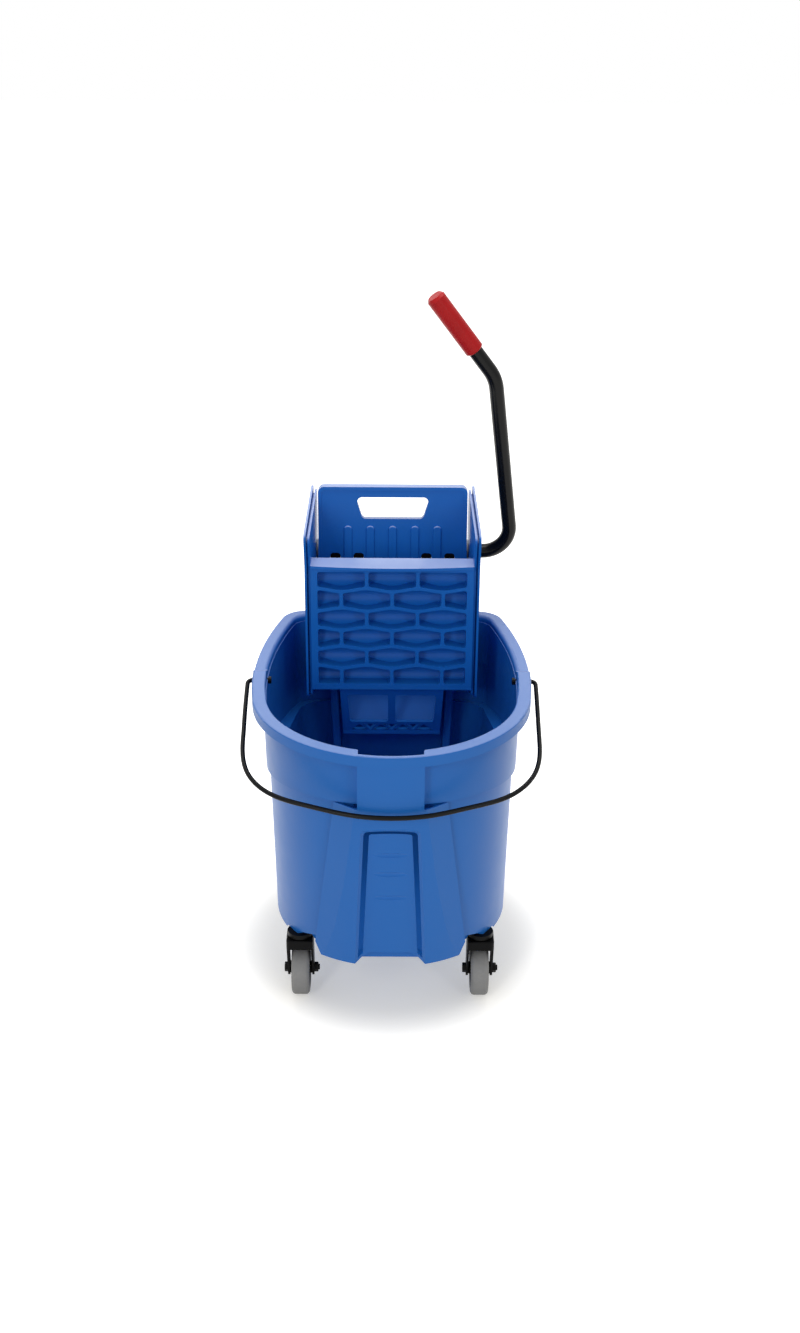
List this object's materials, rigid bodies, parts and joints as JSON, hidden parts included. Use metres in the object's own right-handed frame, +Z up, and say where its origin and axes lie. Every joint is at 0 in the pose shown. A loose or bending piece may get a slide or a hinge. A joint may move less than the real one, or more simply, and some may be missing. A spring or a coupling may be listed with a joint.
{
  "type": "mop bucket with side-press wringer",
  "caption": "Blue mop bucket on swivel casters with a hooked-on side-press wringer worked by a bent crank with a red grip.",
  "frame": {"origin": "on the floor, under the middle of the part's outline", "axes": "+X to the right seen from the pouring front, crank on this side; +Y from the pouring front to the wringer at the back; +Z up"},
  "size_m": [0.4064, 0.5114, 0.9218],
  "materials": {
    "bucket_plastic": "satin",
    "wringer_plastic": "satin",
    "black_tube": "gloss",
    "black_wire": "satin",
    "black_fork": "satin",
    "red_grip": "satin",
    "grey_wheel": "matte",
    "grey_tyre": "matte",
    "zinc_steel": "satin",
    "black_plastic": "matte",
    "white_nylon": "matte"
  },
  "bodies": {
    "bucket": {"bucket_body": "bucket_plastic", "caster_stems": "zinc_steel"},
    "bail": {"bail_handle": "black_wire"},
    "wringer": {"wringer_side_plate_left": "wringer_plastic", "wringer_side_plate_right": "wringer_plastic", "wringer_front_panel": "wringer_plastic", "drain_grille": "wringer_plastic", "rear_hanger": "wringer_plastic", "shaft_bushings": "white_nylon", "hinge_rod": "zinc_steel", "hinge_rod_caps": "zinc_steel", "housing_screws": "zinc_steel", "return_springs": "zinc_steel"},
    "crank": {"crank_tube": "black_tube", "crank_grip": "red_grip", "press_cams": "black_plastic", "cam_pins": "zinc_steel", "shaft_cap": "black_plastic"},
    "press_plate": {"press_plate": "wringer_plastic", "rub_pads": "white_nylon"},
    "swivel_fl": {"caster_fork_front_left": "black_fork", "axle_bolt_front_left": "zinc_steel", "axle_nut_front_left": "zinc_steel"},
    "wheel_fl": {"wheel_hub_front_left": "grey_wheel", "tyre_front_left": "grey_tyre"},
    "swivel_fr": {"caster_fork_front_right": "black_fork", "axle_bolt_front_right": "zinc_steel", "axle_nut_front_right": "zinc_steel"},
    "wheel_fr": {"wheel_hub_front_right": "grey_wheel", "tyre_front_right": "grey_tyre"},
    "swivel_rl": {"caster_fork_rear_left": "black_fork", "axle_bolt_rear_left": "zinc_steel", "axle_nut_rear_left": "zinc_steel"},
    "wheel_rl": {"wheel_hub_rear_left": "grey_wheel", "tyre_rear_left": "grey_tyre"},
    "swivel_rr": {"caster_fork_rear_right": "black_fork", "axle_bolt_rear_right": "zinc_steel", "axle_nut_rear_right": "zinc_steel"},
    "wheel_rr": {"wheel_hub_rear_right": "grey_wheel", "tyre_rear_right": "grey_tyre"}
  },
  "joints": [
    {"name": "bail_swing", "type": "hinge", "parent": "bucket", "child": "bail", "pos_m": [0, 0.013, 0.417], "axis": [-1, 0, 0], "range_deg": [0, 105]},
    {"name": "swivel_turn_fl", "type": "hinge", "parent": "bucket", "child": "swivel_fl", "pos_m": [-0.12502, -0.14619, 0.103], "axis": [0, 0, 1], "continuous": true},
    {"name": "wheel_spin_fl", "type": "hinge", "parent": "swivel_fl", "child": "wheel_fl", "pos_m": [-0.12502, -0.13069, 0.0381], "axis": [1, 0, 0], "continuous": true},
    {"name": "swivel_turn_fr", "type": "hinge", "parent": "bucket", "child": "swivel_fr", "pos_m": [0.12502, -0.14619, 0.103], "axis": [0, 0, 1], "continuous": true},
    {"name": "wheel_spin_fr", "type": "hinge", "parent": "swivel_fr", "child": "wheel_fr", "pos_m": [0.12502, -0.13069, 0.0381], "axis": [1, 0, 0], "continuous": true},
    {"name": "swivel_turn_rl", "type": "hinge", "parent": "bucket", "child": "swivel_rl", "pos_m": [-0.112, 0.15, 0.103], "axis": [0, 0, 1], "continuous": true},
    {"name": "wheel_spin_rl", "type": "hinge", "parent": "swivel_rl", "child": "wheel_rl", "pos_m": [-0.112, 0.1655, 0.0381], "axis": [1, 0, 0], "continuous": true},
    {"name": "swivel_turn_rr", "type": "hinge", "parent": "bucket", "child": "swivel_rr", "pos_m": [0.112, 0.15, 0.103], "axis": [0, 0, 1], "continuous": true},
    {"name": "wheel_spin_rr", "type": "hinge", "parent": "swivel_rr", "child": "wheel_rr", "pos_m": [0.112, 0.1655, 0.0381], "axis": [1, 0, 0], "continuous": true},
    {"name": "wringer_lift", "type": "slide", "parent": "bucket", "child": "wringer", "axis": [0, 0, 1], "range_m": [0, 0.18]},
    {"name": "crank_turn", "type": "hinge", "parent": "wringer", "child": "crank", "pos_m": [0, 0.238, 0.523], "axis": [1, 0, 0], "range_deg": [0, 80], "stiffness_Nm_per_rad": 1.5, "springref_deg": -22.92},
    {"name": "press_swing", "type": "hinge", "parent": "wringer", "child": "press_plate", "pos_m": [0, 0.195, 0.344], "axis": [1, 0, 0], "range_deg": [0, 17.2], "deforming": ["return_springs"]}
  ],
  "couplings": [
    {"joint": "press_swing", "follows": "crank_turn", "ratio": 0.2125}
  ]
}
